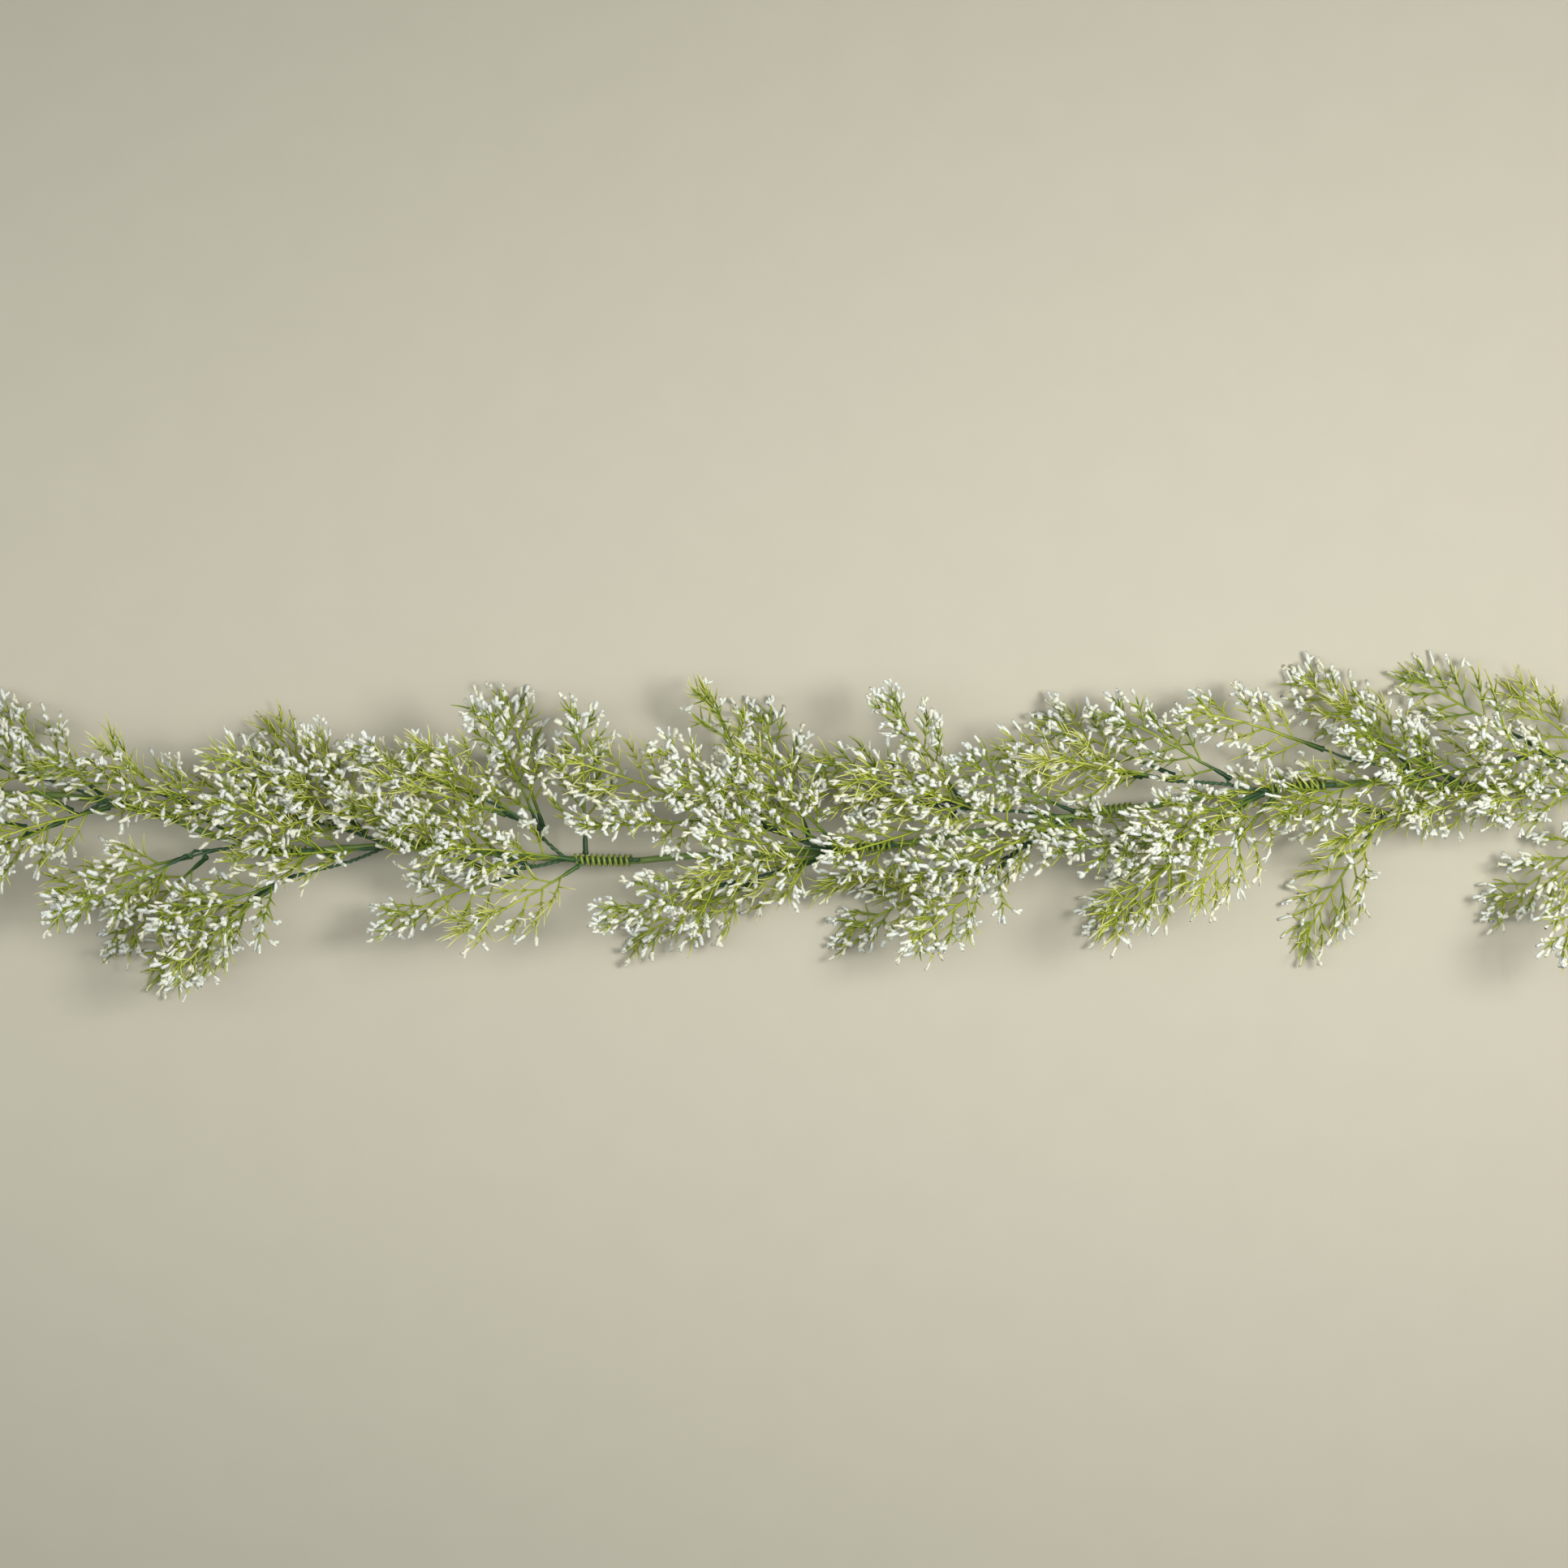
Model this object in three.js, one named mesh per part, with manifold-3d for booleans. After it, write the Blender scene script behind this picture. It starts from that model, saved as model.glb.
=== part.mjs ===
// Flocked foliage garland, lying flat: a plastic-sleeved wire vine, forked branch stems bound to it
// with coils of wire, and moulded sprigs pushed onto the pegs of the stems.
// Millimetres, +X along the vine, +Z up. The origin is on the ground under the middle of the garland.
import * as THREE from 'three';
import { mergeVertices } from 'three/addons/utils/BufferGeometryUtils.js';
import Module from 'manifold-3d';

const wasm = await Module();
wasm.setup();

// Driving dimensions
const vineLength = 1219;
const vineRadius = 2.1;
const vineBore = 1.2;
const coreRadius = 0.7;
const vineSteps = 52;
const vineLift = 25;
const stemRadius = 1.3;
const stemGap = 0.35;
const bindingWire = 0.8;
const bindingTurns = 10;
const bindingLength = 36;
const bindingSegments = 7;
const bindingHalfWidth = 4.0;
const bindingHalfHeight = 5.6;
const pegRadius = 0.66;
const pegInSleeve = 6;
const sprigLength = 98;
const steepest = 32;
const shallowest = 5;
const sleeveRadius = 1.9;
const sleeveLength = 11;
const sleeveBore = 1.35;
const sleeveDepth = 8;
const gap = 0.3;

// Where the vine wanders on the ground plane, and how high it rides in the foliage
const vineRoute = [
  [-650, 16, 0], [-560, 26, 1], [-502, 22, 2], [-460, 20, 1], [-412, 13, 0], [-368, -4, 1],
  [-325, -15, 2], [-278, -13, 1], [-232, -10, 0], [-190, -16, -1], [-138, -20, 0], [-102, -21, 1],
  [-55, -18, 1], [-8, -17, 0],
  [38, -14, 0], [70, -11, 1], [122, -3, 1], [194, 9, 0], [226, 13, -1], [278, 21, 0], [330, 26, 1],
  [382, 29, 1], [434, 26, 0], [502, 23, 0], [560, 18, 1], [650, 26, 0],
];

// Each branch: its binding's place along the vine, over (1) or under (-1) the vine,
// then how far its main run and its fork go back, and how far they stray to the side
const branches = [
  { at: 575, side: 1, reach: 88, stray: 24, forkReach: 62, forkStray: -22 },
  { at: 455, side: -1, reach: 92, stray: 16, forkReach: 70, forkStray: -20 },
  { at: 330, side: 1, reach: 84, stray: 14, forkReach: 74, forkStray: -26 },
  { at: 205, side: -1, reach: 88, stray: 16, forkReach: 80, forkStray: -26 },
  { at: 52, side: 1, reach: 92, stray: 26, forkReach: 76, forkStray: -16 },
  { at: -116, side: 1, reach: 70, stray: 32, forkReach: 84, forkStray: -14 },
  { at: -230, side: -1, reach: 84, stray: 22, forkReach: 92, forkStray: -18 },
  { at: -325, side: 1, reach: 62, stray: 18, forkReach: 52, forkStray: -14 },
  { at: -412, side: 1, reach: 86, stray: 16, forkReach: 74, forkStray: -26 },
  { at: -520, side: -1, reach: 62, stray: 16, forkReach: 58, forkStray: -24 },
];

// Sprigs as [root x, root y, tip x, tip y]. The first reach down to the ground and carry the garland.
const groundSprigs = [
  [420, 45, 325, 100], [485, 25, 410, 95], [35, 5, -15, 80], [-125, 5, -185, 90], [-260, 10, -340, 80],
  [-430, 15, -515, 75], [360, 5, 320, -90], [295, -15, 195, -70], [-5, -30, -105, -75],
  [50, -20, -35, -60], [-365, -15, -450, -85], [-325, -35, -395, -65], [140, -30, 40, -65],
  [260, 25, 165, 70], [555, 45, 465, 100], [-540, 30, -620, 80], [-555, -5, -640, -50],
  [560, 0, 480, -40],
];
const raisedSprigs = [
  [295, 25, 200, 80], [440, 30, 335, 60], [340, 5, 235, -10], [210, 15, 120, 50], [215, 5, 105, 10],
  [175, -20, 80, -35], [110, 10, 20, 45], [60, -10, -45, 10], [-175, -15, -245, 60],
  [-155, -20, -270, -45], [-255, 0, -350, 45], [-300, -10, -390, 40], [-425, -15, -535, -30],
  [480, 30, 380, 30], [-480, 10, -580, 20], [500, 15, 500, -50],
];

// Pegs whose sprigs are too closely packed for solids of their own, in the same form
const barePegs = [
  [350, 30, 265, 80], [365, 15, 265, 30], [430, 25, 350, -10], [485, 15, 390, 0], [350, 10, 280, -15],
  [215, 10, 150, 25], [255, 10, 170, -20], [280, -20, 220, -45], [160, -30, 100, -60],
  [115, -20, 20, -35], [115, 15, 90, 50], [110, 10, 10, 25], [-5, 20, -50, 100], [35, -15, -25, 20],
  [50, -15, -55, -35], [-45, -15, -130, -5], [-105, 5, -130, 100], [-165, 15, -255, 35],
  [20, 10, -70, 35], [-230, -35, -345, -20], [-240, -10, -300, 30], [-285, -15, -345, 15],
  [-360, -20, -470, -40], [-325, -30, -360, -65], [-390, 0, -450, 40], [-430, -10, -515, -10],
  [-545, 5, -640, 10], [-480, -15, -575, -40], [540, 25, 440, 20], [-500, 20, -575, 60],
  [-440, 5, -500, 40], [-385, -25, -450, -55], [-350, 5, -420, 40], [-310, -25, -375, -55],
  [-275, 15, -345, 40], [-235, 10, -300, 50], [-200, 10, -260, 50], [-150, 10, -215, 45],
  [-130, 20, -180, 60], [-75, 10, -140, 50], [-40, -25, -110, -50], [0, 10, -70, 45], [75, -10, 5, 20],
  [100, -5, 30, -25], [135, 10, 65, 30], [165, -5, 95, 25], [205, 10, 130, -15], [240, 10, 180, 45],
  [310, 10, 240, 0], [395, 25, 315, 15], [460, 25, 390, 50], [520, 20, 440, 50],
  [-100, -35, -195, -65], [-160, -20, -240, 0], [-190, -10, -270, 10], [-120, -20, -200, -10],
];

const sleeveGreen = new THREE.MeshStandardMaterial({ color: '#5a6e28', roughness: 0.5, metalness: 0 });
const steelGrey = new THREE.MeshStandardMaterial({ color: '#8f9290', roughness: 0.35, metalness: 1 });
const stemGreen = new THREE.MeshStandardMaterial({ color: '#27452c', roughness: 0.6, metalness: 0 });
const wireOlive = new THREE.MeshStandardMaterial({ color: '#6d7c2b', roughness: 0.45, metalness: 0 });
const flockWhite = new THREE.MeshStandardMaterial({ color: '#cdd3b4', roughness: 0.95, metalness: 0 });

const garland = new THREE.Group();

function addPiece(name, geometry, material) {
  const piece = new THREE.Mesh(geometry, material);
  piece.name = name;
  garland.add(piece);
  return piece;
}

function toSolid(geometry) {
  const bare = geometry.clone();
  bare.deleteAttribute('normal');
  bare.deleteAttribute('uv');
  const merged = mergeVertices(bare, 1e-4);
  return new wasm.Manifold(new wasm.Mesh({
    numProp: 3,
    vertProperties: new Float32Array(merged.attributes.position.array),
    triVerts: new Uint32Array(merged.index.array),
  }));
}

function toGeometry(solid) {
  const mesh = solid.getMesh();
  const geometry = new THREE.BufferGeometry();
  geometry.setAttribute('position', new THREE.BufferAttribute(mesh.vertProperties, 3));
  geometry.setIndex(new THREE.BufferAttribute(mesh.triVerts, 1));
  geometry.computeVertexNormals();
  return geometry;
}

function polygonPoints(radius, sides) {
  const points = [];
  for (let i = 0; i < sides; i += 1) {
    const angle = (2 * Math.PI * i) / sides;
    points.push(new THREE.Vector2(radius * Math.cos(angle), radius * Math.sin(angle)));
  }
  return points;
}

function rodAlong(curve, radius, sides, steps, bore = 0) {
  const section = new THREE.Shape(polygonPoints(radius, sides));
  if (bore > 0) {
    section.holes.push(new THREE.Path(polygonPoints(bore, sides)));
  }
  return new THREE.ExtrudeGeometry(section, { steps, extrudePath: curve, curveSegments: 1 });
}

// The vine: a green sleeve with a steel wire through it

class VineCurve extends THREE.Curve {
  constructor() {
    super();
    this.route = new THREE.CatmullRomCurve3(
      vineRoute.map(([x, y, rise]) => new THREE.Vector3(x, y, vineLift + rise)),
    );
  }

  getPoint(t, target = new THREE.Vector3()) {
    const span = vineLength / 2;
    return target.copy(pointAtX(this.route, THREE.MathUtils.lerp(-span, span, t)));
  }
}

function pointAtX(route, x) {
  let low = 0;
  let high = 1;
  for (let i = 0; i < 30; i += 1) {
    const middle = (low + high) / 2;
    if (route.getPoint(middle).x < x) {
      low = middle;
    } else {
      high = middle;
    }
  }
  return route.getPoint((low + high) / 2);
}

const vineCurve = new VineCurve();
const sleeveSolid = toSolid(rodAlong(vineCurve, vineRadius, 6, vineSteps, vineBore));
addPiece('vine_sleeve', toGeometry(sleeveSolid), sleeveGreen);
addPiece('vine_core_wire', rodAlong(vineCurve, coreRadius, 5, vineSteps), steelGrey);

function vineAt(x) {
  return pointAtX(vineCurve.route, x);
}

// Bindings: a flattened coil round the vine and a branch's tail

const stemOffset = vineRadius + stemGap + stemRadius;

class BindingCurve extends THREE.Curve {
  constructor(branch) {
    super();
    this.branch = branch;
  }

  getPoint(t, target = new THREE.Vector3()) {
    const x = this.branch.at + (t - 0.5) * bindingLength;
    const angle = 2 * Math.PI * bindingTurns * t;
    const centre = vineAt(x);
    const middle = this.branch.side * (stemOffset + stemRadius - vineRadius) / 2;
    return target.set(
      x,
      centre.y + bindingHalfWidth * Math.cos(angle),
      centre.z + middle + bindingHalfHeight * Math.sin(angle),
    );
  }
}

function bindingSolid(branch) {
  const steps = bindingTurns * bindingSegments;
  return toSolid(rodAlong(new BindingCurve(branch), bindingWire, 4, steps));
}

// Branch stems: a tail under the binding, a main run and a fork

function besideVine(branch, back, stray, rise) {
  const point = vineAt(branch.at - back);
  return point.add(new THREE.Vector3(0, stray, branch.side * stemOffset + rise));
}

function mainRun(branch) {
  return new THREE.CatmullRomCurve3([
    besideVine(branch, -24, 0, 0),
    besideVine(branch, 0, 0, 0),
    besideVine(branch, 22, 0, 0),
    besideVine(branch, 22 + (branch.reach - 22) * 0.45, branch.stray * 0.5, branch.side * 1.5),
    besideVine(branch, branch.reach, branch.stray, branch.side * 2.5),
  ]);
}

function forkRun(branch) {
  const back = branch.forkReach;
  return new THREE.CatmullRomCurve3([
    besideVine(branch, 23, 0, branch.side * 0.2),
    besideVine(branch, 23 + (back - 23) * 0.4, branch.forkStray * 0.5, branch.side * 1.2),
    besideVine(branch, back, branch.forkStray, branch.side * 2),
  ]);
}

for (const branch of branches) {
  branch.runs = [mainRun(branch), forkRun(branch)];
  branch.stem = toSolid(rodAlong(branch.runs[0], stemRadius, 5, 8))
    .add(toSolid(rodAlong(branch.runs[1], stemRadius * 0.85, 5, 4)));
  branch.binding = bindingSolid(branch);
  branch.pegs = [];
}

// A sprig: a socket sleeve, a bowed tapering rachis, club-shaped side arms and a tip tuft

function bow(geometry, sideways, droop) {
  const place = geometry.attributes.position;
  for (let i = 0; i < place.count; i += 1) {
    const along = Math.max(place.getX(i) - sleeveLength, 0) / sprigLength;
    place.setY(i, place.getY(i) + sideways * along * along);
    place.setZ(i, place.getZ(i) - droop * along * along);
  }
  return geometry;
}

function turned(profile, sides) {
  const points = profile.map(([along, radius]) => new THREE.Vector2(radius, along));
  return new THREE.LatheGeometry(points, sides).rotateZ(-Math.PI / 2);
}

function sideArm(along, length, side, tilt) {
  const club = turned([[-0.2, 0], [length * 0.62, 3.2], [length * 0.92, 2.2], [length, 0]], 4);
  club.rotateZ(side * THREE.MathUtils.degToRad(48));
  club.rotateX(THREE.MathUtils.degToRad(tilt));
  return club.translate(along, 0, 0);
}

function sprigSolid(side) {
  const rachis = turned([
    [0, 0], [0, sleeveRadius + 0.2], [sleeveLength, sleeveRadius], [sleeveLength + 1, 1.1], [50, 0.9],
    [sprigLength - 18, 0.8], [sprigLength - 8, 3], [sprigLength, 0],
  ], 5);
  const bore = turned([[-1, 0], [-1, sleeveBore], [sleeveDepth, sleeveBore], [sleeveDepth, 0]], 5);
  let solid = toSolid(bow(rachis, side * 8, 6)).subtract(toSolid(bore));
  for (let i = 0; i < 6; i += 1) {
    const along = 20 + i * 12;
    const armSide = i % 2 === 0 ? side : -side;
    const arm = bow(sideArm(along, 32 - i * 2.6, armSide, i % 3 === 0 ? 18 : -14), side * 8, 6);
    solid = solid.add(toSolid(arm));
  }
  return solid;
}

const sprigForms = [sprigSolid(1), sprigSolid(-1)].map((solid) => ({ solid, geometry: toGeometry(solid) }));

// Placing: a sprig's peg leaves the nearest stem, and the sprig turns until it clears its neighbours

function nearestOnStems(x, y) {
  let best = null;
  for (const branch of branches) {
    for (const run of branch.runs) {
      for (let t = 0.3; t <= 1.001; t += 0.05) {
        const point = run.getPoint(Math.min(t, 0.99));
        const distance = Math.hypot(point.x - x, point.y - y);
        if (!best || distance < best.distance) {
          best = { branch, point, distance, tangent: run.getTangent(Math.min(t, 0.99)) };
        }
      }
    }
  }
  return best;
}

function directionOf(heading, lift) {
  const turn = THREE.MathUtils.degToRad(heading);
  const raise = THREE.MathUtils.degToRad(lift);
  return new THREE.Vector3(
    Math.cos(raise) * Math.cos(turn),
    Math.cos(raise) * Math.sin(turn),
    Math.sin(raise),
  );
}

function aimAt(foot, tipX, tipY) {
  const acrossX = tipX - foot.point.x;
  const acrossY = tipY - foot.point.y;
  const reach = Math.min(Math.hypot(acrossX, acrossY) / (sprigLength + 8), 1);
  return {
    heading: THREE.MathUtils.radToDeg(Math.atan2(acrossY, acrossX)),
    lift: THREE.MathUtils.clamp(THREE.MathUtils.radToDeg(Math.acos(reach)), shallowest, steepest),
  };
}

function frameAt(start, direction) {
  const across = new THREE.Vector3(-direction.y, direction.x, 0).normalize();
  const up = new THREE.Vector3().crossVectors(direction, across);
  return new THREE.Matrix4().makeBasis(direction, across, up).setPosition(start);
}

function seat(foot, heading, lift) {
  const direction = directionOf(heading, lift);
  const angle = direction.angleTo(foot.tangent);
  const lean = Math.min(angle, Math.PI - angle);
  const clearance = stemRadius + sleeveRadius + 2 * gap + 0.3;
  const stand = THREE.MathUtils.clamp(clearance / Math.sin(lean), 4.5, 18);
  const start = foot.point.clone().addScaledVector(direction, stand);
  return { direction, stand, matrix: frameAt(start, direction) };
}

function pegSolid(foot, placed) {
  const length = placed.stand + pegInSleeve;
  const peg = turned([[0, 0], [0, pegRadius], [length, pegRadius * 0.85], [length, 0]], 4);
  return toSolid(peg.applyMatrix4(frameAt(foot.point, placed.direction)));
}

function boxesApart(a, b) {
  return [0, 1, 2].some((i) => a.min[i] > b.max[i] + gap || b.min[i] > a.max[i] + gap);
}

function clears(solid, others) {
  const box = solid.boundingBox();
  const near = others.filter((other) => !boxesApart(box, other.boundingBox()));
  return near.every((other) => solid.minGap(other, gap) > gap * 0.99);
}

function groundLift(form, foot, heading) {
  let low = -40;
  let high = 20;
  for (let i = 0; i < 16; i += 1) {
    const middle = (low + high) / 2;
    const solid = form.solid.transform(seat(foot, heading, middle).matrix.elements);
    if (solid.boundingBox().min[2] > 0) {
      high = middle;
    } else {
      low = middle;
    }
  }
  return high;
}

const standing = [sleeveSolid, ...branches.flatMap((branch) => [branch.stem, branch.binding])];
const setSprigs = [];

function addBarePeg([x, y, tipX, tipY]) {
  const foot = nearestOnStems(x, y);
  const { heading, lift } = aimAt(foot, tipX, tipY);
  const peg = pegSolid(foot, seat(foot, heading, lift));
  const others = standing.filter((solid) => solid !== foot.branch.stem);
  if (clears(peg, others)) {
    foot.branch.pegs.push(peg);
  }
}

function trySprig(form, foot, heading, lift) {
  const placed = seat(foot, heading, lift);
  const solid = form.solid.transform(placed.matrix.elements);
  if (solid.boundingBox().min[2] < -0.001) {
    return null;
  }
  const pegs = branches.flatMap((branch) => branch.pegs);
  if (!clears(solid, [...standing, ...pegs, ...setSprigs])) {
    return null;
  }
  const peg = pegSolid(foot, placed);
  const otherPegs = branches.filter((branch) => branch !== foot.branch).flatMap((branch) => branch.pegs);
  const others = standing.filter((other) => other !== foot.branch.stem);
  if (!clears(peg, [...others, ...otherPegs, ...setSprigs, solid])) {
    return null;
  }
  return { placed, solid, peg };
}

function tryOuts(grounded) {
  const turns = [0, 4, -4, 8, -8, 12, -12, 16, -16, 21, -21, 26, -26];
  const raises = [-8, 0, 5, 10, 15, 20];
  const slides = [0, 12, -12, 24, -24];
  const tries = [];
  for (const turn of turns) {
    for (const raise of raises) {
      slides.forEach((slide) => tries.push({ turn, raise, slide }));
    }
  }
  const raiseCost = grounded ? 3 : 1.2;
  const slideCost = 0.7;
  const cost = ({ turn, raise, slide }) => (
    Math.abs(turn) + Math.abs(raise) * raiseCost + Math.abs(slide) * slideCost
  );
  return tries.sort((a, b) => cost(a) - cost(b));
}

function settleSprig(index, [x, y, tipX, tipY], grounded) {
  const forms = index % 2 === 0 ? sprigForms : [...sprigForms].reverse();
  for (const { turn, raise, slide } of tryOuts(grounded)) {
    const foot = nearestOnStems(x + slide, y);
    const { heading, lift } = aimAt(foot, tipX, tipY);
    for (const form of forms) {
      const aim = heading + turn;
      const least = grounded ? groundLift(form, foot, aim) : lift;
      const found = trySprig(form, foot, aim, raise + least);
      if (found) {
        return { ...found, form, foot };
      }
    }
  }
  return null;
}

barePegs.forEach(addBarePeg);

[...groundSprigs, ...raisedSprigs].forEach((entry, index) => {
  const number = String(index + 1).padStart(2, '0');
  const found = settleSprig(index, entry, index < groundSprigs.length);
  if (!found) {
    throw new Error(`sprig ${number} finds no room`);
  }
  setSprigs.push(found.solid);
  found.foot.branch.pegs.push(found.peg);
  const piece = addPiece(`sprig_${number}`, found.form.geometry, flockWhite);
  found.placed.matrix.decompose(piece.position, piece.quaternion, piece.scale);
});

branches.forEach((branch, index) => {
  const number = String(index + 1).padStart(2, '0');
  const stem = branch.pegs.reduce((solid, peg) => solid.add(peg), branch.stem);
  addPiece(`branch_stem_${number}`, toGeometry(stem), stemGreen);
  addPiece(`binding_${number}`, toGeometry(branch.binding), wireOlive);
});

// The origin goes on the ground under the middle of the garland's box
const box = new THREE.Box3().setFromObject(garland, true);
const middle = box.getCenter(new THREE.Vector3());
garland.position.set(-middle.x, -middle.y, -box.min.z);
garland.updateMatrixWorld(true);

export default garland;
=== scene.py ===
import bpy
import bmesh
import math
import numpy as np
from mathutils import Matrix, Vector


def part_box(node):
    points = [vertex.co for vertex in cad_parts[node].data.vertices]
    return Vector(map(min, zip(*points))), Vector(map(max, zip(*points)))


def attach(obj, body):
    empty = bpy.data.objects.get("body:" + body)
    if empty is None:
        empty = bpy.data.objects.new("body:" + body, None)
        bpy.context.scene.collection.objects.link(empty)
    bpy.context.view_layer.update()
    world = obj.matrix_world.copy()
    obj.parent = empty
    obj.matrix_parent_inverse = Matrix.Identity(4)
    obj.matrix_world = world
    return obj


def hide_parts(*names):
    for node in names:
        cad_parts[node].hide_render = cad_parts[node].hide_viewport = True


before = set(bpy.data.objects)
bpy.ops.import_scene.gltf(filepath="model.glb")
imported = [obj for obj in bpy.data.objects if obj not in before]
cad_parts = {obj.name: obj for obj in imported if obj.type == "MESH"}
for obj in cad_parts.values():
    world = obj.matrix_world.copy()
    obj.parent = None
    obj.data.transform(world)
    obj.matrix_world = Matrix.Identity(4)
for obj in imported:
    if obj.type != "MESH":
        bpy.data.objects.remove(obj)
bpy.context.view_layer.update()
mm = 0.001
weldWithin = 0.01 * mm


class Shade:
    # wraps one node socket so that shader maths reads as plain expressions
    def __init__(self, finish, socket):
        self.finish = finish
        self.socket = socket

    def maths(self, operation, first, second):
        return self.finish.node("ShaderNodeMath", {"operation": operation}, {0: first, 1: second})

    def __add__(self, other):
        return self.maths("ADD", self, other)

    def __radd__(self, other):
        return self.maths("ADD", other, self)

    def __sub__(self, other):
        return self.maths("SUBTRACT", self, other)

    def __rsub__(self, other):
        return self.maths("SUBTRACT", other, self)

    def __mul__(self, other):
        return self.maths("MULTIPLY", self, other)

    def __rmul__(self, other):
        return self.maths("MULTIPLY", other, self)


class Finish:
    # one material: its constants go on the shader, and node() adds everything else
    def __init__(self, name, **constants):
        self.material = bpy.data.materials.new(name)
        self.material.use_nodes = True
        self.tree = self.material.node_tree
        self.shader = self.tree.nodes["Principled BSDF"]
        for socket, value in constants.items():
            self.shader.inputs[socket.replace("_", " ")].default_value = value

    def put(self, socket, value):
        if isinstance(value, Shade):
            self.tree.links.new(value.socket, socket)
        else:
            socket.default_value = value

    def node(self, kind, settings, sockets, output=0):
        made = self.tree.nodes.new(kind)
        for name, value in settings.items():
            if name == "stops":
                self.setStops(made.color_ramp, value)
            else:
                setattr(made, name, value)
        for key, value in sockets.items():
            self.put(made.inputs[key], value)
        return Shade(self, made.outputs[output])

    def setStops(self, ramp, stops):
        while len(ramp.elements) < len(stops):
            ramp.elements.new(0.5)
        for element, (place, colour) in zip(ramp.elements, stops):
            element.position = place
            element.color = (*colour, 1)

    def mix(self, factor, first, second):
        sockets = {0: factor, 6: first, 7: second}
        return self.node("ShaderNodeMix", {"data_type": "RGBA"}, sockets, output=2)

    def noise(self, scale, detail=2.0):
        where = self.node("ShaderNodeTexCoord", {}, {}, output="Object")
        sockets = {"Vector": where, "Scale": scale, "Detail": detail}
        return self.node("ShaderNodeTexNoise", {}, sockets)

    def value(self, name):
        return self.node("ShaderNodeAttribute", {"attribute_name": name}, {}, output="Fac")

    def bump(self, height, strength, distance):
        sockets = {"Height": height, "Strength": strength, "Distance": distance}
        self.feed("Normal", self.node("ShaderNodeBump", {}, sockets))

    def feed(self, socket, value):
        self.put(self.shader.inputs[socket], value)


def colour(red, green, blue):
    # a colour from screen values 0-255 to linear light
    def linear(value):
        part = value / 255
        return part / 12.92 if part <= 0.04045 else ((part + 0.055) / 1.055) ** 2.4
    return (linear(red), linear(green), linear(blue))


def wide(rgb):
    return (*rgb, 1.0)


def smoothPath(points, count):
    # a Catmull-Rom curve through the points, sampled at even steps
    samplesPerKnot = 24
    knots = np.array(points, float)
    ends = np.vstack([2 * knots[0] - knots[1], knots, 2 * knots[-1] - knots[-2]])
    steps = np.linspace(0, len(knots) - 1, len(knots) * samplesPerKnot)
    span = np.minimum(steps.astype(int), len(knots) - 2)
    t = (steps - span)[:, None]
    a, b, c, d = (ends[span + i] for i in range(4))
    curve = 2 * b + (c - a) * t + (2 * a - 5 * b + 4 * c - d) * t ** 2
    curve = 0.5 * (curve + (3 * b - a - 3 * c + d) * t ** 3)
    walked = np.concatenate([[0], np.cumsum(np.linalg.norm(np.diff(curve, axis=0), axis=1))])
    even = np.linspace(0, walked[-1], count)
    return np.stack([np.interp(even, walked, curve[:, i]) for i in range(3)], axis=1)


def strandMesh(name, strands, sides=4, profile=None):
    # each strand is (points in mm, radii in mm or scale, shade values, turns); all become one mesh
    curve = bpy.data.curves.new(name, "CURVE")
    curve.dimensions = "3D"
    curve.twist_mode = "MINIMUM"
    if profile:
        curve.bevel_mode = "OBJECT"
        curve.bevel_object = profile
        sides = len(profile.data.splines[0].points)
    else:
        curve.bevel_depth = mm
        curve.bevel_resolution = (sides - 4) // 2
    shades = []
    for points, radii, shadeValues, turns in strands:
        spline = curve.splines.new("POLY")
        spline.points.add(len(points) - 1)
        flat = np.ones((len(points), 4))
        flat[:, :3] = np.array(points) * mm
        spline.points.foreach_set("co", flat.ravel())
        spline.points.foreach_set("radius", np.array(radii, float))
        spline.points.foreach_set("tilt", np.linspace(0, turns * 2 * math.pi, len(points)))
        shades.append(np.repeat(np.array(shadeValues, float), sides))
    holder = bpy.data.objects.new(name, curve)
    bpy.context.scene.collection.objects.link(holder)
    bpy.context.view_layer.update()
    mesh = bpy.data.meshes.new_from_object(holder.evaluated_get(bpy.context.evaluated_depsgraph_get()))
    mesh.materials.clear()
    bpy.data.objects.remove(holder)
    if profile:
        bpy.data.objects.remove(profile)
    layer = mesh.attributes.new("shade", "FLOAT", "POINT")
    layer.data.foreach_set("value", np.concatenate(shades))
    return mesh


def outline(name, radiusAt, count):
    # a closed flat profile for strands, radius by angle in mm
    curve = bpy.data.curves.new(name, "CURVE")
    spline = curve.splines.new("POLY")
    spline.points.add(count - 1)
    for i, point in enumerate(spline.points):
        angle = 2 * math.pi * i / count
        point.co = (radiusAt(angle) * math.cos(angle) * mm, radiusAt(angle) * math.sin(angle) * mm, 0, 1)
    spline.use_cyclic_u = True
    section = bpy.data.objects.new(name, curve)
    bpy.context.scene.collection.objects.link(section)
    return section


def addPiece(name, mesh, materials, replaced=()):
    piece = bpy.data.objects.new(name, mesh)
    bpy.context.scene.collection.objects.link(piece)
    for material in materials:
        mesh.materials.append(material)
    mesh.polygons.foreach_set("use_smooth", np.ones(len(mesh.polygons), bool))
    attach(piece, "root")
    if replaced:
        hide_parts(*replaced)
    return piece


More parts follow.
